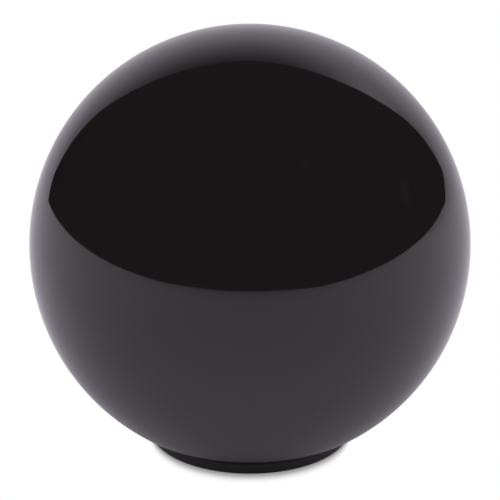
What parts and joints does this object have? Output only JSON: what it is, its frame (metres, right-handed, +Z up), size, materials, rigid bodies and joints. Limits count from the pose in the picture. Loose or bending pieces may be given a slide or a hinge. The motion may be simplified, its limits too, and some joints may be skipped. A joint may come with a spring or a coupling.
{
  "type": "ball knob",
  "caption": "Glossy black ball knob on a short collar, with a moulded-in threaded brass insert, pushed or turned by hand at the end of a lever or spindle.",
  "frame": {"origin": "middle of the seat face, on the knob's axis", "axes": "+Z up the knob's axis, from the seat face through the ball's centre"},
  "size_m": [0.035, 0.035, 0.0339],
  "materials": {
    "black_phenolic": "tumbled and polished to a high gloss",
    "turned_brass": "fine turned"
  },
  "bodies": {
    "root": {"ball": "black_phenolic", "threaded_insert": "turned_brass"}
  },
  "joints": []
}
